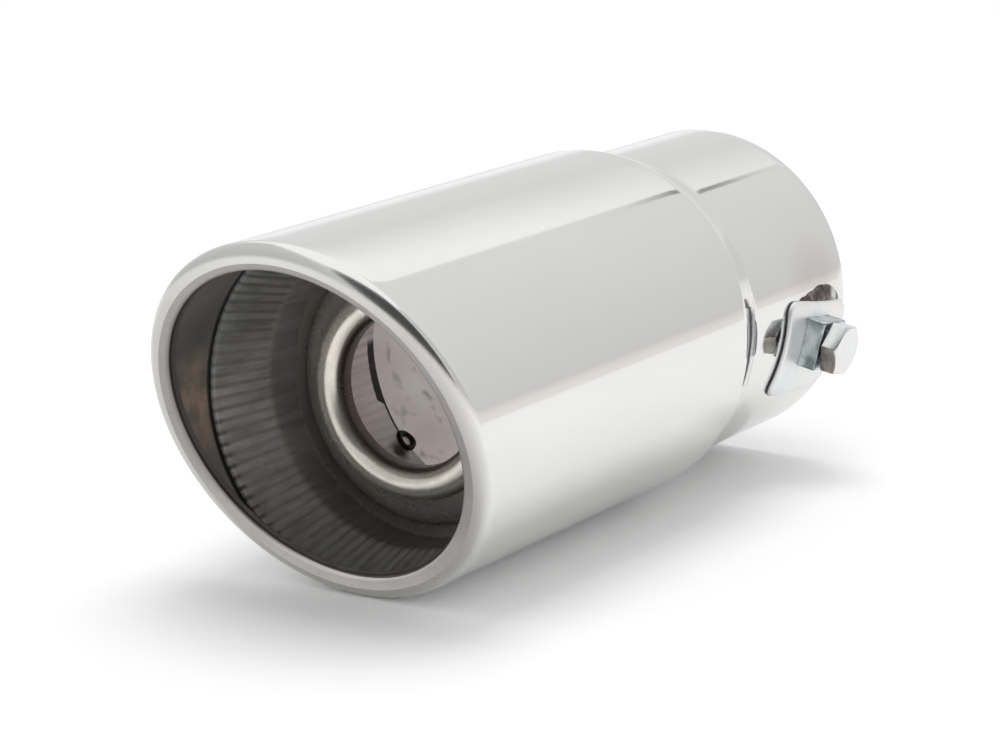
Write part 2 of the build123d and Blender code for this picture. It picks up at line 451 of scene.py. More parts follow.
def raw_steel():
    """Unpolished inside of the shell: dark with a brown patch at the mouth and painted shade ahead of the
    sleeve's front edge, pinkish with spots behind.
    """
    paint = Paint("raw_steel", (0.56, 0.53, 0.52), metallic=0.7, roughness=0.42)
    _, y, _ = paint.axes()
    clouds = paint.noise(60.0, detail=5.0)
    front = paint.ramp(clouds, (0.35, (0.24, 0.235, 0.23)), (0.65, (0.38, 0.365, 0.35)))
    patch = paint.span(paint.distance(BROWN_PLACE), metres(3.0, 11.5), (1.1, 0.0))
    blotches = paint.span(paint.noise(140.0, detail=4.0), (0.38, 0.58), (1.0, 0.15))
    browned = paint.mix(paint.times(patch, blotches), front, (0.72, 0.55, 0.44))
    # Painted shade: a near-black band on the shell's inside just in front of the sleeve's front edge
    sleeve_gap_shade = paint.span(y, metres(-131.4, -130.7), (0.0, 0.95))
    front = paint.mix(sleeve_gap_shade, browned, (0.015, 0.015, 0.015))
    spots = paint.span(paint.noise(250.0, detail=2.0, rough=0.4), (0.58, 0.72), (0.0, 0.7))
    fewer_in_neck = paint.span(y, metres(-60.0, -45.0), (1.0, 0.3))
    rear = paint.mix(paint.times(spots, fewer_in_neck), (0.76, 0.7, 0.68), (0.3, 0.26, 0.25))
    paint.colour(paint.mix(paint.span(y, metres(-115.0, -100.0), (0.0, 1.0)), front, rear))
    paint.roughness(paint.span(clouds, NOISE_RANGE, (0.34, 0.5)))
    paint.bump(paint.noise(700.0), strength=0.1, depth=0.1)
    return paint.material


def tack_place(turn=0.0, ahead=0.0):
    """A place on the sleeve's inside, at an angle from the tack weld and ahead of the rear edge."""
    reach = WAIST_OUTER - SLEEVE_SHEET
    angle = TACK_ANGLE + turn
    return (reach * cos(angle), -SLEEVE_REAR - ahead, reach * sin(angle))


def rear_dark_marks(paint):
    """Dark marks by the sleeve's rear edge: a line on the left, thicker above, and a smudge by the tack."""
    _, y, z = paint.axes()
    thicker = paint.span(z, metres(-12.5, -11.5), metres(0.0, 1.6))
    uneven = paint.span(paint.noise(60.0, detail=4.0), NOISE_RANGE, metres(-0.2, 0.2))
    width = paint.math("ADD", thicker, uneven)
    line_front = metres(-SLEEVE_REAR - 0.8, -SLEEVE_REAR - 0.5)
    line = paint.span(paint.math("ADD", y, width), line_front, (0.0, 1.0))
    upper_end = paint.span(z, metres(-0.8, 0.4), (1.0, 0.1))
    lower_end = paint.span(z, metres(-20.0, -19.5), (0.0, 1.0))
    smudge = tack_place(turn=radians(3.0), ahead=4.0)
    smudged = paint.span(paint.distance(smudge), metres(1.0, 2.8), (1.0, 0.0))
    return paint.math("MAXIMUM", paint.times(upper_end, lower_end, line), smudged)


def sleeve_steel():
    """Thin fluted sheet: grey pleats with painted shade in their valleys and painted light and shade by
    height, a pink line at the bend, a dark waist, and a pale rear with dark marks by its edge.
    """
    paint = Paint("sleeve_steel", (0.4, 0.4, 0.39), metallic=0.6, roughness=0.5)
    _, y, z = paint.axes()
    zones = paint.ramp(
        paint.span(y, metres(-SLEEVE_FRONT, -SLEEVE_REAR), (0.0, 1.0)),
        (0.0, (0.84, 0.84, 0.82)),
        (0.012, (0.62, 0.62, 0.61)),
        (0.25, (0.62, 0.62, 0.61)),
        (0.262, (0.58, 0.5, 0.46)),
        (0.28, (0.38, 0.37, 0.35)),
        (0.44, (0.34, 0.33, 0.31)),
        (0.56, (0.95, 0.88, 0.86)),
    )

    # Painted shade in the pleat valleys, as dark lines, patchy and fainter low down and on the waist
    streaks = paint.noise(420.0, detail=4.0, vector=paint.stretched((1.0, 0.06, 1.0)))
    valleys = paint.times(paint.span(paint.stripes(PLEATS), (0.45, 0.95), (0.0, 1.0)), streaks)
    patchy = paint.span(paint.noise(70.0, detail=2.0, rough=0.5), (0.35, 0.65), (0.45, 1.0))
    faint_below = paint.span(z, metres(-12.0, 2.0), (0.4, 1.0))
    on_funnel = paint.span(y, metres(-118.5, -116.5), (1.0, 0.1))
    on_rear = paint.span(y, metres(-108.0, -104.0), (0.0, 0.6))
    strength = paint.times(patchy, faint_below, paint.math("MAXIMUM", on_funnel, on_rear))
    lined = paint.mix(paint.times(valleys, strength), zones, (0.07, 0.07, 0.07))
    streaked = paint.shaded(lined, paint.ramp(streaks, (0.3, 0.6), (0.65, 1.0)))

    # Painted light and shade by height, on the pleats and behind them
    height = paint.span(z, metres(-32.0, 12.0), (0.0, 1.0))
    pleat_tone = paint.ramp(height, (0.0, 0.5), (0.45, (1.0, 0.98, 0.94)), (0.7, 1.0), (0.95, 0.71))
    waist_tone = paint.ramp(height, (0.0, 0.3), (0.45, 1.0))
    behind = paint.span(y, metres(-119.0, -117.0), (0.0, 1.0))
    toned = paint.shaded(streaked, paint.mix(behind, pleat_tone, waist_tone))

    # Painted shade in the pleat valleys at the front edge, low on the left, and dark marks at the rear
    front_edge = paint.span(y, metres(-129.3, -128.2), (1.1, 0.0))
    low = paint.span(z, metres(-12.0, -3.0), (1.0, 0.1))
    front_valley_shaded = paint.mix(paint.times(valleys, front_edge, low), toned, (0.03, 0.03, 0.03))
    paint.colour(paint.mix(rear_dark_marks(paint), front_valley_shaded, (0.012, 0.011, 0.01)))
    paint.roughness(paint.span(streaks, NOISE_RANGE, (0.42, 0.58)))
    return paint.material


def weld_steel():
    """Burnt tack weld, a black ring with a lighter middle."""
    paint = Paint("weld_steel", (0.05, 0.045, 0.04), metallic=0.6, roughness=0.5)
    ring = paint.span(paint.distance(tack_place()), metres(0.85, 1.1), (0.0, 1.0))
    scale = paint.noise(900.0, detail=4.0)
    burnt = paint.ramp(scale, (0.35, (0.015, 0.014, 0.013)), (0.7, (0.06, 0.05, 0.045)))
    paint.colour(paint.mix(ring, (0.95, 0.88, 0.86), burnt))
    paint.roughness(paint.span(scale, NOISE_RANGE, (0.4, 0.7)))
    return paint.material


def seam_steel():
    """Weld metal with brown and grey scale and one painted highlight."""
    paint = Paint("seam_steel", (0.2, 0.17, 0.16), metallic=0.8, roughness=0.4)
    scale = paint.noise(260.0, detail=4.0)
    burnt = paint.ramp(
        scale,
        (0.32, (0.05, 0.035, 0.03)),
        (0.52, (0.14, 0.11, 0.105)),
        (0.7, (0.36, 0.35, 0.34)),
    )
    # Painted highlight: one pale spot on the weld metal
    along, over_edge, height = 6.6, 1.2, 0.6
    glint_place = on_neck(tilted(Vector((along, PLATE_UPPER + over_edge))), PLATE_SEAT + height)
    glint = paint.span(paint.distance(glint_place), metres(0.7, 1.8), (0.85, 0.0))
    paint.colour(paint.mix(glint, burnt, (0.78, 0.83, 0.8)))
    paint.roughness(paint.span(scale, NOISE_RANGE, (0.6, 0.3)))
    paint.bump(paint.noise(1200.0), strength=0.3, depth=0.2)
    return paint.material


def baffle_steel():
    """Drawn ring, from the bore out: a bright, warm bead, painted shade in the crease, a pale flank, painted
    shade in the groove and a dark web.
    """
    paint = Paint("baffle_steel", (0.5, 0.46, 0.42), metallic=0.85, roughness=0.25)
    # Painted shade darkens the crease behind the bead and the groove by the web
    zones = paint.ramp(
        paint.span(paint.radius(), metres(BORE_RADIUS, BAFFLE_RIM), (0.0, 1.0)),
        (0.0, (0.17, 0.145, 0.12)),
        (0.035, (0.22, 0.2, 0.17)),
        (0.08, (0.92, 0.86, 0.78)),
        (0.405, (0.94, 0.87, 0.79)),
        (0.43, (0.24, 0.19, 0.16)),
        (0.46, (0.85, 0.78, 0.71)),
        (0.64, (0.9, 0.85, 0.79)),
        (0.78, (0.62, 0.59, 0.55)),
        (0.84, (0.2, 0.19, 0.175)),
        (1.0, (0.34, 0.32, 0.29)),
    )
    clouds = paint.noise(120.0, detail=4.0)
    paint.colour(paint.mix(paint.span(clouds, (0.4, 0.8), (0.0, 0.3)), zones, (0.2, 0.16, 0.13)))
    paint.roughness(paint.span(clouds, NOISE_RANGE, (0.22, 0.34)))
    return paint.material


def zinc_plate():
    """Dull, pale zinc plating with faint blue and straw tints."""
    paint = Paint("zinc_plate", (0.86, 0.88, 0.89), metallic=0.8, roughness=0.45)
    tint = paint.noise(90.0, rough=0.5)
    zinc = paint.ramp(tint, (0.3, (0.82, 0.88, 0.89)), (0.5, (0.92, 0.93, 0.93)), (0.7, (0.92, 0.9, 0.87)))
    paint.colour(zinc)
    paint.roughness(paint.span(paint.noise(500.0), NOISE_RANGE, (0.4, 0.52)))
    return paint.material


def zinc_bolt():
    """Bright zinc plating, with painted shade in dull brown grey on the head's lower left face."""
    paint = Paint("zinc_bolt", (0.86, 0.88, 0.89), metallic=1.0, roughness=0.25)
    tint = paint.noise(200.0, rough=0.5)
    zinc = paint.ramp(tint, (0.3, (0.78, 0.82, 0.83)), (0.5, (0.85, 0.86, 0.86)), (0.7, (0.86, 0.84, 0.82)))
    # Painted shade: the head's lower left face darkened to brown grey
    shaded_side = HEAD_TURN + radians(210.0)
    outward = clamp_point(cos(shaded_side), sin(shaded_side), 0.0) - clamp_point(0.0, 0.0, 0.0)
    head_middle = clamp_point(0.0, 0.0, HEAD_TOP)
    shaded_face = paint.span(paint.away(head_middle, outward), metres(4.7, 4.9), (0.0, 1.0))
    grain = paint.noise(500.0)
    face_shade = paint.ramp(grain, (0.3, (0.22, 0.2, 0.185)), (0.7, (0.4, 0.375, 0.35)))
    paint.colour(paint.mix(shaded_face, zinc, face_shade))
    paint.roughness(paint.span(grain, NOISE_RANGE, (0.2, 0.32)))
    return paint.material


def cut_edge():
    """Sheared edge of the plate, dull green grey."""
    paint = Paint("cut_edge", (0.3, 0.32, 0.315), metallic=0.3, roughness=0.5)
    grain = paint.noise(700.0)
    paint.colour(paint.ramp(grain, (0.3, (0.22, 0.24, 0.235)), (0.7, (0.38, 0.4, 0.395))))
    paint.roughness(paint.span(grain, NOISE_RANGE, (0.38, 0.55)))
    return paint.material


def nut_steel():
    """Nut with patchy, blue-green zinc over dark steel."""
    paint = Paint("nut_steel", (0.5, 0.56, 0.56), metallic=1.0, roughness=0.25)
    patches = paint.noise(210.0, rough=0.5)
    zinc = paint.ramp(
        patches,
        (0.34, (0.2, 0.25, 0.25)),
        (0.5, (0.58, 0.65, 0.66)),
        (0.66, (0.8, 0.82, 0.82)),
    )
    paint.colour(zinc)
    paint.roughness(paint.span(patches, NOISE_RANGE, (0.34, 0.2)))
    return paint.material


# Outer shell


def lip_centre(radius, inset, side, up):
    """A point of the mouth's edge in one half-plane: at a radius, and inset behind the mouth's plane."""
    y = -MOUTH_DISTANCE + (inset - sin(MOUTH_SLANT) * radius * up) / cos(MOUTH_SLANT)
    return Vector((radius * side, y, radius * up))


def ball_arc(centre, radius, first, last, steps):
    """Points on a ball from one direction to another along the short way."""
    angle = acos(max(-1.0, min(1.0, first.dot(last))))
    points = []
    for step in range(steps + 1):
        share = step / steps
        way = (first * sin((1 - share) * angle) + last * sin(share * angle)) / sin(angle)
        points.append(centre + way * radius)
    return points


def shell_column(turn):
    """Points round the shell's wall in one half-plane, and the material index of each strip."""
    side, up = cos(turn), sin(turn)
    outward = Vector((side, 0.0, up))
    forward = Vector((0.0, -cos(MOUTH_SLANT), -sin(MOUTH_SLANT)))
    neck_bore = NECK_RADIUS - WALL
    points = []
    slots = []

    def put(new_points, slot):
        points.extend(new_points)
        slots.extend([slot] * len(new_points))

    def flat(profile, slot):
        put([Vector((r * side, y, r * up)) for r, y in profile], slot)

    # Outside, from the neck's rim to the cone
    rim_outer = (NECK_RADIUS - EDGE_ROUND, -EDGE_ROUND)
    rim_inner = (neck_bore + EDGE_ROUND, -EDGE_ROUND)
    foot = (NECK_RADIUS + CONE_ROUND, -CONE_START)
    shoulder = (BODY_RADIUS - CONE_ROUND, -CONE_END)
    flat(arc(rim_outer, EDGE_ROUND, pi / 2, 0.0, steps=4), POLISHED)
    flat([(NECK_RADIUS, y) for y in between(-EDGE_ROUND, -CONE_START, steps=16)], POLISHED)
    flat(arc(foot, CONE_ROUND, pi, pi + CONE_ANGLE, steps=8), POLISHED)
    flat(arc(shoulder, CONE_ROUND, CONE_ANGLE, 0.0, steps=8), POLISHED)

    # Body, lip and land, and the round into the opening
    lip = lip_centre(BODY_RADIUS - LIP_ROUND, LIP_ROUND, side, up)
    edge = lip_centre(OPENING_RADIUS + OPENING_ROUND, OPENING_ROUND, side, up)
    land_start = lip + forward * LIP_ROUND
    land_end = edge + forward * OPENING_ROUND
    flat([(BODY_RADIUS, y) for y in between(-CONE_END, lip.y, steps=30)], POLISHED)
    put(ball_arc(lip, LIP_ROUND, outward, forward, steps=16), POLISHED)
    put(between(land_start, land_end, steps=6), SATIN)
    put(ball_arc(edge, OPENING_ROUND, forward, -outward, steps=10), SATIN)

    # Turned-in end, and the inside back to the neck's rim
    end_front = lip_centre(OPENING_RADIUS, LIP_RETURN - EDGE_ROUND, side, up)
    end_inner = lip_centre(OPENING_RADIUS + EDGE_ROUND, LIP_RETURN, side, up)
    end_outer = lip_centre(OPENING_RADIUS + WALL - EDGE_ROUND, LIP_RETURN, side, up)
    end_back = lip_centre(OPENING_RADIUS + WALL, LIP_RETURN - EDGE_ROUND, side, up)
    land_back = lip_centre(OPENING_RADIUS + WALL, WALL + EDGE_ROUND, side, up)
    put([end_front, end_inner, end_outer, end_back, land_back], RAW)
    put(ball_arc(lip, LIP_ROUND - WALL, forward, outward, steps=8), RAW)
    flat([(BODY_RADIUS - WALL, y) for y in between(lip.y, -CONE_END, steps=20)], RAW)
    flat(arc(shoulder, CONE_ROUND - WALL, 0.0, CONE_ANGLE, steps=6), RAW)
    flat(arc(foot, CONE_ROUND + WALL, pi + CONE_ANGLE, pi, steps=6), RAW)
    flat([(neck_bore, y) for y in between(-CONE_START, -EDGE_ROUND, steps=16)], RAW)
    flat(arc(rim_inner, EDGE_ROUND, pi, pi / 2, steps=4), RAW)
    return points, slots


def cut_passage(piece):
    """Cuts the bolt's hole through the neck."""
    inner_end = 28.0
    outer_end = 36.0
    columns = []
    for turn in full_turn(steps=64):
        along, across = PASSAGE_RADIUS * cos(turn), PASSAGE_RADIUS * sin(turn)
        columns.append([clamp_point(along, across, height) for height in (inner_end, outer_end)])
    cutter = skin("passage_cutter", columns, around=False, capped=True)
    cut = piece.modifiers.new("passage", "BOOLEAN")
    cut.object = cutter
    cut.solver = "EXACT"
    bpy.context.view_layer.objects.active = piece
    bpy.ops.object.modifier_apply(modifier=cut.name)
    bpy.data.objects.remove(cutter)


def build_shell():
    """The shell's wall as one closed skin: polished outside, satin land, raw inside."""
    columns = []
    for turn in full_turn(SHELL_COLUMNS):
        points, slots = shell_column(turn)
        columns.append(points)
    piece = skin("shell_wall", columns, slots=slots)
    cut_passage(piece)
    sharpen(piece, 40.0)
    dress(piece, "outer_shell", "tip", "polished_stainless", polished_steel(), satin_steel(), raw_steel())


# Fluted sleeve


def pleat_sharpness(y):
    """Depth of the pleats along the tube, from 0 to 1: they fade at both edges and at the bend."""
    faintest = 0.1
    bend = -WAIST_FRONT + 4.5
    bend_run = 6.0
    rear_run = 9.0
    front_fade = (y + SLEEVE_FRONT) / PLEAT_START
    bend_fade = max(faintest, abs(bend - y) / bend_run)
    rear_fade = max(faintest, (-SLEEVE_REAR - y) / rear_run)
    return min(1.0, front_fade, rear_fade, bend_fade)


def build_sleeve():
    """Pleated funnel and waist, with soft, slightly uneven pleats."""
    chance = random.Random(7)
    shallowest, deepest = 0.55, 1.0
    most_shift = 0.12
    front_steps = 3
    depths = [chance.uniform(shallowest, deepest) for _ in range(PLEATS)]
    shifts = [chance.uniform(-most_shift, most_shift) for _ in range(PLEATS)]
    front_rows = [-SLEEVE_FRONT + PLEAT_START * step / front_steps for step in range(front_steps + 1)]
    rows = [*front_rows, *between(front_rows[-1], -SLEEVE_REAR, steps=36), -SLEEVE_REAR]
    slope = (SLEEVE_OUTER - WAIST_OUTER) / (SLEEVE_FRONT - WAIST_FRONT)
    columns = []
    for step in range(PLEATS * PLEAT_STEPS):
        pleat = step // PLEAT_STEPS
        share = step % PLEAT_STEPS / PLEAT_STEPS
        turn = 2 * pi * (pleat + share + shifts[pleat] * sin(pi * share) ** 2) / PLEATS
        wave = 0.5 - 0.5 * cos(2 * pi * share)
        outside = []
        for y in rows:
            ahead = -WAIST_FRONT - y
            crest = WAIST_OUTER + slope * (ahead + sqrt(ahead * ahead + WAIST_ROUND * WAIST_ROUND)) / 2
            valley = PLEAT_DEPTH * pleat_sharpness(y) * depths[pleat] * wave
            outside.append((min(crest, SLEEVE_OUTER) - valley, y))
        inside = [(radius - SLEEVE_SHEET, y) for radius, y in reversed(outside)]
        columns.append(around_axis(outside + inside, turn))
    piece = skin("fluted_sheet", columns)
    sharpen(piece, 50.0)
    dress(piece, "fluted_sleeve", "tip", "plain_stainless", sleeve_steel())


def build_tack():
    """Burnt ring of weld metal on the sleeve's rear edge, slightly out of round."""
    outward = Vector((cos(TACK_ANGLE), 0.0, sin(TACK_ANGLE)))
    across = Vector((-sin(TACK_ANGLE), 0.0, cos(TACK_ANGLE)))
    along = Vector((0.0, 1.0, 0.0))
    sunk = 0.3
    unevenness = 0.05
    lobes = 3
    lobe_start = 0.6
    foot = outward * (WAIST_OUTER - sunk) + along * -SLEEVE_REAR
    # Pairs of a radius and a height over the foot
    profile = (
        (2.3, 0.0),
        (2.3, 0.45),
        (2.15, 0.8),
        (1.8, 1.0),
        (1.4, 0.85),
        (1.15, 0.55),
        (1.0, 0.36),
        (0.5, 0.34),
    )
    columns = []
    for turn in full_turn(steps=40):
        way = along * cos(turn) + across * sin(turn)
        swell = 1.0 + unevenness * sin(lobes * turn + lobe_start)
        columns.append([foot + way * (radius * swell) - outward * height for radius, height in profile])
    piece = skin("tack_weld", columns, around=False, capped=True)
    piece.data.materials.append(weld_steel())
    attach(piece, "tip")


# Baffle ring


def beside(profile, distance):
    """A profile moved to its right by a distance, with mitred corners."""
    points = [Vector(point) for point in profile]
    normals = []
    for start, end in zip(points, points[1:]):
        course = (end - start).normalized()
        normals.append(Vector((course.y, -course.x)))
    moved = [points[0] + normals[0] * distance]
    for corner, before, after in zip(points[1:], normals, normals[1:]):
        moved.append(corner + (before + after) * (distance / (1 + before.dot(after))))
    moved.append(points[-1] + normals[-1] * distance)
    return [(point.x, point.y) for point in moved]


def build_baffle():
    """Drawn disc turned about the tube's axis: a flat web, a groove, a raised flank and a rolled bead."""
    bead = (BORE_RADIUS + BEAD_ROUND * cos(BEAD_LEAN), -BEAD_START - BEAD_ROUND * sin(BEAD_LEAN))
    crease = (bead[0] + BEAD_ROUND * cos(BEAD_LEAN), -BEAD_START)
    flank = atan2(BEAD_START - BAFFLE_FACE, GROOVE_RADIUS - crease[0])
    groove_centre = (GROOVE_RADIUS + GROOVE_ROUND * tan(flank / 2), -BAFFLE_FACE - GROOVE_ROUND)
    sheet = [(BAFFLE_RIM, -BAFFLE_FACE)]
    sheet += [(radius, -BAFFLE_FACE) for radius in between(BAFFLE_RIM, groove_centre[0], steps=4)]
    sheet += arc(groove_centre, GROOVE_ROUND, pi / 2, pi / 2 + flank, steps=5)
    sheet += [tuple(point) for point in between(Vector(sheet[-1]), Vector(crease), steps=8)]
    sheet.append(crease)
    roll = arc(bead, BEAD_ROUND, BEAD_LEAN, BEAD_LEAN - pi, steps=24)[1:]
    bore_end = (BORE_RADIUS, roll[-1][1] + BORE_SETBACK)
    profile = sheet + roll + [bore_end] + beside(sheet, BAFFLE_SHEET)[::-1]
    columns = [around_axis(profile, turn) for turn in full_turn(BAFFLE_COLUMNS)]
    piece = skin("baffle_disc", columns)
    sharpen(piece, 50.0)
    dress(piece, "baffle_ring", "tip", "plain_stainless", baffle_steel())


# Clamp


def clamp_point(along, across, height):
    """A point by its place on the clamp: along the tube, across it, and out from its axis along the bolt."""
    outward = Vector((cos(CLAMP_TURN), 0.0, sin(CLAMP_TURN)))
    upward = Vector((-sin(CLAMP_TURN), 0.0, cos(CLAMP_TURN)))
    return Vector((0.0, along - CLAMP_DISTANCE, 0.0)) + upward * across + outward * height


def tilted(point):
    """A point of the clamp turned about the bolt by the clamp's tilt."""
    turned_x = point.x * cos(CLAMP_TILT) - point.y * sin(CLAMP_TILT)
    turned_y = point.x * sin(CLAMP_TILT) + point.y * cos(CLAMP_TILT)
    return Vector((turned_x, turned_y))


def on_neck(point, radius):
    """A point of the clamp at a radius from the tube's axis."""
    return clamp_point(point.x, point.y, sqrt(radius * radius - point.y * point.y))


def rounded_outline(corners, radius, arc_steps, side_steps):
    """Outline of a convex polygon with rounded corners, with points along its sides."""
    outline = []
    count = len(corners)
    for index in range(count):
        corner = Vector(corners[index])
        back = (Vector(corners[index - 1]) - corner).normalized()
        ahead = (Vector(corners[(index + 1) % count]) - corner).normalized()
        half = back.angle(ahead) / 2
        centre = corner + (back + ahead).normalized() * (radius / sin(half))
        first = corner + back * (radius / tan(half))
        last = corner + ahead * (radius / tan(half))
        if outline:
            outline += between(outline[-1], first, side_steps)
        outline.append(first)
        for step in range(1, arc_steps):
            share = step / arc_steps
            spoke = ((first - centre) * (1 - share) + (last - centre) * share).normalized()
            outline.append(centre + spoke * radius)
        outline.append(last)
    outline += between(outline[-1], outline[0], side_steps)
    return outline


def shrunk(point, amount):
    """A point of an outline moved towards the middle."""
    return point * (1 - amount / point.length)


def eased_edge(point, edge, top):
    """The round from a top face to the side at a point of the outline: pairs of a point and a height."""
    steps = 4
    angles = [pi / 2 * step / steps for step in range(steps + 1)]
    return [(shrunk(point, edge * (1 - sin(angle))), top - edge * (1 - cos(angle))) for angle in angles]


def build_plate():
    """Saddle plate bent to the neck, with rounded edges."""
    half_length = PLATE_LENGTH / 2
    edge = 0.62
    foot_edge = 0.15
    corners = [
        (half_length, PLATE_UPPER),
        (-half_length, PLATE_UPPER),
        (-half_length, PLATE_LOWER),
        (half_length, PLATE_LOWER),
    ]
    columns = []
    for point in rounded_outline(corners, PLATE_CORNER, arc_steps=8, side_steps=14):
        hole = point.normalized() * PASSAGE_RADIUS
        inset = shrunk(point, edge)
        face = [hole, *between(hole, inset, steps=8), inset]
        upper = [(place, PLATE_TOP) for place in face[:-1]] + eased_edge(point, edge, PLATE_TOP)
        lower = [(point, PLATE_SEAT + foot_edge)] + [(place, PLATE_SEAT) for place in reversed(face)]
        columns.append([on_neck(tilted(place), radius) for place, radius in upper + lower])
    side = len(upper) - 1
    slots = [1 if row in (side, side + 1) else 0 for row in range(len(columns[0]))]
    piece = skin("saddle_plate", columns, slots=slots)
    sharpen(piece, 40.0)
    dress(piece, "clamp_plate", "tip", "zinc_plated_steel", zinc_plate(), cut_edge())


def puddle_reach(puddles, along):
    """How far the run-together puddles reach over the plate's edge at a place along it."""
    total = 0.0
    for middle, radius, reach in puddles:
        share = max(0.0, 1 - ((along - middle) / radius) ** 2)
        total += (reach * sqrt(share)) ** 3
    return total ** (1 / 3)


def build_seam():
    """Weld seam along the plate's upper edge: a row of puddles that run into each other."""
    # Place along the edge, half length and reach of each puddle
    puddles = ((-3.6, 3.0, 0.8), (-0.2, 3.8, 1.8), (3.6, 4.4, 2.8), (6.8, 2.8, 2.1))
    overlap = 0.55
    plate_rise = 0.35
    thinnest = 0.05
    base_height, gain, flattening = 0.2, 0.36, 0.6
    steps = 96
    first = puddles[0][0] - puddles[0][1]
    last = puddles[-1][0] + puddles[-1][1]
    columns = []
    for turn in full_turn(steps=28):
        column = []
        for step in range(steps + 1):
            along = first + (last - first) * step / steps
            reach = puddle_reach(puddles, along)
            half = (reach + overlap) / 2
            across = PLATE_UPPER - overlap + half + half * cos(turn)
            # The further a puddle reaches, the higher it stands
            height = base_height + gain * reach ** flattening if reach > 0 else thinnest
            lift = height * sin(turn) if sin(turn) > 0 else thinnest * sin(turn)
            radius = PLATE_SEAT + lift + plate_rise * max(0.0, -cos(turn))
            column.append(on_neck(tilted(Vector((along, across))), radius))
        columns.append(column)
    piece = skin("weld_seam", columns, around=False, capped=True)
    piece.data.materials.append(seam_steel())
    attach(piece, "tip")


def build_nut():
    """Square nut with eased edges, its foot fitted to the plate."""
    half = NUT_WIDTH / 2
    corner_round = 0.5
    edge = 0.35
    play = 0.08
    hole_radius = THREAD_RADIUS + play
    chamfer = 0.4
    corners = [(half, half), (-half, half), (-half, -half), (half, -half)]
    columns = []
    for point in rounded_outline(corners, corner_round, arc_steps=5, side_steps=8):
        direction = point.normalized()
        hole = direction * hole_radius
        mouth = direction * (hole_radius + chamfer)
        face = [mouth, *between(mouth, shrunk(point, edge), steps=4)]
        loop = [(hole, NUT_TOP - chamfer)] + [(place, NUT_TOP) for place in face]
        loop += eased_edge(point, edge, NUT_TOP)
        foot = [point, *between(point, hole, steps=4), hole]
        column = [clamp_point(*tilted(place), height) for place, height in loop]
        columns.append(column + [on_neck(tilted(place), NUT_SEAT) for place in foot])
    piece = skin("square_nut", columns)
    sharpen(piece, 40.0)
    dress(piece, "weld_nut", "tip", "zinc_plated_steel", nut_steel())


def shank_side(turn):
    """Radii and heights of the shank at a share of a full turn: a thread with a tapered lead."""
    tip_radius = 2.2
    lead_length = 0.6
    steps_per_pitch = 8
    tip_rise = 0.3
    neck_length = 0.1
    thread_end = HEAD_SEAT - neck_length
    side = [(tip_radius, BOLT_TIP)]
    height = BOLT_TIP + tip_rise
    while height < thread_end:
        phase = ((height - BOLT_TIP) / THREAD_PITCH + turn) % 1.0
        cut = THREAD_DEPTH * abs(2 * phase - 1)
        lead = max(0.0, lead_length - (height - BOLT_TIP))
        side.append((THREAD_RADIUS - max(cut, lead), height))
        height += THREAD_PITCH / steps_per_pitch
    side.append((THREAD_RADIUS - THREAD_DEPTH, HEAD_SEAT))
    return side


def head_side(reach, apothem):
    """Radii and heights of the head where its side is at a reach, from the seat to the turned face."""
    seat_radius = 0.94 * apothem
    seat_edge = 0.12
    face_radius = 0.95 * apothem
    face_edge = 0.1
    face_drop = 0.045
    rim_drop, rim_rise, rim_inset = 0.08, 0.02, 0.05
    chamfer_angle = radians(30.0)
    rim = HEAD_TOP - max(0.0, reach - face_radius) * tan(chamfer_angle)
    return [
        (seat_radius, HEAD_SEAT),
        (reach - seat_edge, HEAD_SEAT),
        (reach, HEAD_SEAT + seat_edge),
        (reach, rim - rim_drop),
        (reach - rim_inset, rim + rim_rise),
        (face_radius + face_edge, HEAD_TOP - face_drop),
        (face_radius - face_edge, HEAD_TOP),
        (0.5 * face_radius, HEAD_TOP),
    ]


def build_bolt():
    """Hex bolt with a turned face and a threaded shank."""
    apothem = WRENCH_SIZE / 2
    corner = apothem / cos(pi / 6)
    corner_round = 0.3
    turns = [HEAD_TURN + pi / 3 * side for side in range(6)]
    corners = [(corner * cos(turn), corner * sin(turn)) for turn in turns]
    columns = []
    for point in rounded_outline(corners, corner_round, arc_steps=4, side_steps=9):
        direction = point.normalized()
        turn = atan2(point.y, point.x) / (2 * pi)
        column = []
        for radius, height in shank_side(turn) + head_side(point.length, apothem):
            column.append(clamp_point(direction.x * radius, direction.y * radius, height))
        columns.append(column)
    piece = skin("hex_bolt", columns, around=False, capped=True)
    sharpen(piece, 35.0)
    dress(piece, "clamp_bolt", "bolt", "zinc_plated_steel", zinc_bolt())


# Studio


def bare_nodes(owner):
    """The emptied node tree of a material or a world."""
    owner.use_nodes = True
    owner.node_tree.nodes.clear()
    return Nodes(owner.node_tree)


def background_rays(nodes):
    """1 for rays that see the studio directly, in a mirror or through glass."""
    rays = nodes.add("ShaderNodeLightPath").outputs
    seen = rays["Is Camera Ray"]
    for name in ("Is Glossy Ray", "Is Transmission Ray"):
        seen = nodes.math("MAXIMUM", seen, rays[name])
    return seen


def build_world():
    """White surroundings, at a plain level for diffuse light."""
    world = bpy.data.worlds.new("studio")
    bpy.context.scene.world = world
    nodes = bare_nodes(world)
    mixed = nodes.add("ShaderNodeMixShader")
    nodes.link(background_rays(nodes), mixed.inputs[0])
    fill_strength = 0.8
    seen_strength = 1.0
    for socket, strength in ((mixed.inputs[1], fill_strength), (mixed.inputs[2], seen_strength)):
        background = nodes.add("ShaderNodeBackground")
        background.inputs["Color"].default_value = (*WHITE, 1.0)
        background.inputs["Strength"].default_value = strength
        nodes.link(background.outputs[0], socket)
    out = nodes.add("ShaderNodeOutputWorld")
    nodes.link(mixed.outputs[0], out.inputs["Surface"])


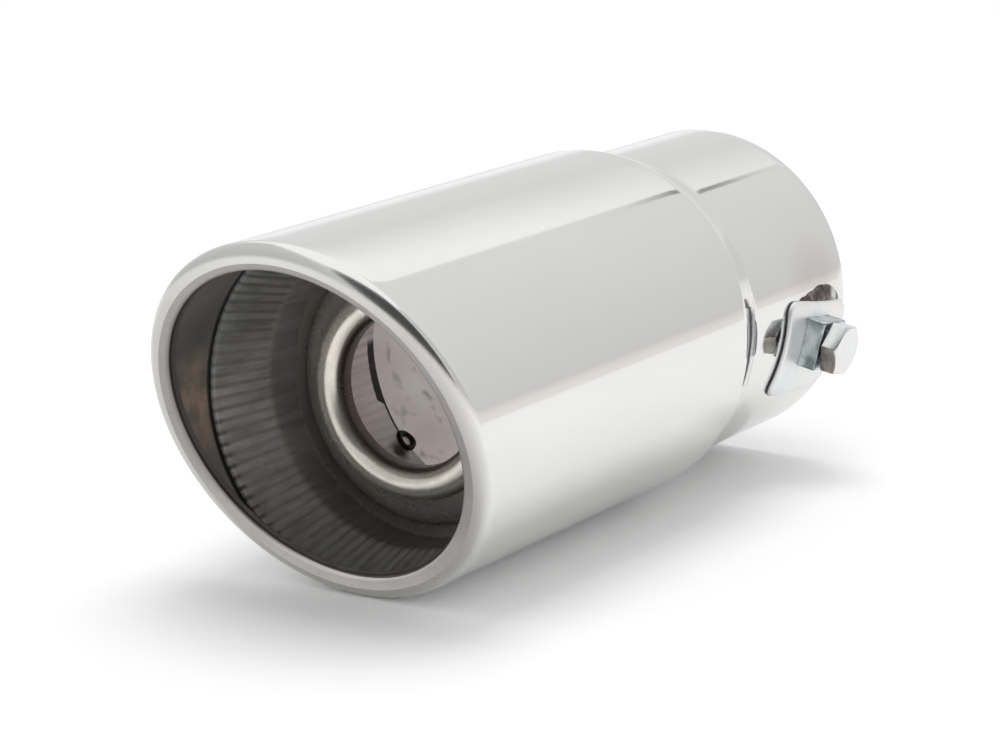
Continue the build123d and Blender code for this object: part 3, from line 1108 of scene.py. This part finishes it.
def plane(name, centre, along, across):
    """A flat rectangle from its centre and two half sides."""
    centre, along, across = Vector(centre), Vector(along), Vector(across)
    corners = [
        centre - along - across,
        centre + along - across,
        centre + along + across,
        centre - along + across,
    ]
    mesh = bpy.data.meshes.new(name)
    mesh.from_pydata(corners, [], [(0, 1, 2, 3)])
    piece = bpy.data.objects.new(name, mesh)
    bpy.context.scene.collection.objects.link(piece)
    return piece


def build_floor():
    """Pale floor that stays white where no shadow falls, with a beige stretch beyond the paper's edge.

    The paper's grey and the beige are what mirrors and diffuse light see; the camera sees white.
    """
    half_side = 12.0
    paper_edge = (0.262, 0.274)
    glow_strength = 0.03
    floor = plane("floor", (0.0, 0.0, FLOOR_HEIGHT * MM), (half_side, 0.0, 0.0), (0.0, half_side, 0.0))
    material = bpy.data.materials.new("floor_paper")
    nodes = bare_nodes(material)
    x, _, _ = nodes.split(nodes.add("ShaderNodeTexCoord").outputs["Object"])
    beyond = nodes.span(x, paper_edge, (0.0, 1.0))
    tone = nodes.ramp(beyond, (0.0, 0.9), (1.0, (0.79, 0.765, 0.735)))
    camera_ray = nodes.add("ShaderNodeLightPath").outputs["Is Camera Ray"]
    paper = nodes.add("ShaderNodeBsdfDiffuse")
    nodes.link(nodes.mix(camera_ray, tone, WHITE), paper.inputs["Color"])
    glow = nodes.add("ShaderNodeEmission")
    nodes.link(nodes.math("MULTIPLY", background_rays(nodes), glow_strength), glow.inputs["Strength"])
    total = nodes.add("ShaderNodeAddShader")
    nodes.link(paper.outputs[0], total.inputs[0])
    nodes.link(glow.outputs[0], total.inputs[1])
    out = nodes.add("ShaderNodeOutputMaterial")
    nodes.link(total.outputs[0], out.inputs["Surface"])
    floor.data.materials.append(material)


def build_card(name, azimuths, tones, distance):
    """A card that only mirrors see, standing on the floor far from the object.

    azimuths are its two edges, from +Y towards +X. tones are pairs of an elevation and a brightness.
    """
    first, last = (radians(angle) for angle in azimuths)
    left = Vector((sin(first), cos(first), 0.0)) * distance
    right = Vector((sin(last), cos(last), 0.0)) * distance
    height = distance * tan(radians(tones[-1][0]))
    foot = FLOOR_HEIGHT * MM
    middle = (left + right) / 2 + Vector((0.0, 0.0, foot + height / 2))
    card = plane(name, middle, (right - left) / 2, (0.0, 0.0, height / 2))
    material = bpy.data.materials.new(name)
    nodes = bare_nodes(material)
    _, _, z = nodes.split(nodes.add("ShaderNodeNewGeometry").outputs["Position"])
    share = nodes.span(z, (foot, foot + height), (0.0, 1.0))
    stops = [(distance * tan(radians(elevation)) / height, grey) for elevation, grey in tones]
    glow = nodes.add("ShaderNodeEmission")
    nodes.link(nodes.ramp(share, *stops), glow.inputs["Color"])
    out = nodes.add("ShaderNodeOutputMaterial")
    nodes.link(glow.outputs[0], out.inputs["Surface"])
    card.data.materials.append(material)
    card.visible_camera = False
    card.visible_diffuse = False
    card.visible_shadow = False


def aim(holder, direction):
    """Turns a lamp or a camera to look along a direction."""
    holder.rotation_euler = direction.to_track_quat("-Z", "Y").to_euler()


def build_lamp():
    """Large soft light above the object."""
    place = Vector((0.0, -0.08, 1.5))
    target = Vector((0.0, -0.07, 0.0))
    lamp = bpy.data.lights.new("softbox", "AREA")
    lamp.shape = "RECTANGLE"
    lamp.size = 0.8
    lamp.size_y = 0.8
    lamp.energy = 7.0
    holder = bpy.data.objects.new("softbox", lamp)
    holder.location = place
    aim(holder, target - place)
    holder.visible_camera = False
    holder.visible_glossy = False
    bpy.context.scene.collection.objects.link(holder)


def build_camera():
    """Camera at the photograph's place."""
    azimuth = radians(31.55)
    elevation = radians(13.35)
    camera = bpy.data.cameras.new("camera")
    camera.lens = 123.6
    camera.sensor_width = 36.0
    camera.clip_start = 0.01
    holder = bpy.data.objects.new("camera", camera)
    holder.location = (0.3341, -0.6272, 0.1492)
    level = cos(elevation)
    aim(holder, Vector((-sin(azimuth) * level, cos(azimuth) * level, -sin(elevation))))
    bpy.context.scene.collection.objects.link(holder)
    bpy.context.scene.camera = holder


build_shell()
build_sleeve()
build_tack()
build_baffle()
build_plate()
build_seam()
build_nut()
build_bolt()
build_world()
build_floor()
for card in CARDS:
    build_card(*card)
build_lamp()
build_camera()
bpy.context.scene.view_settings.view_transform = "Standard"
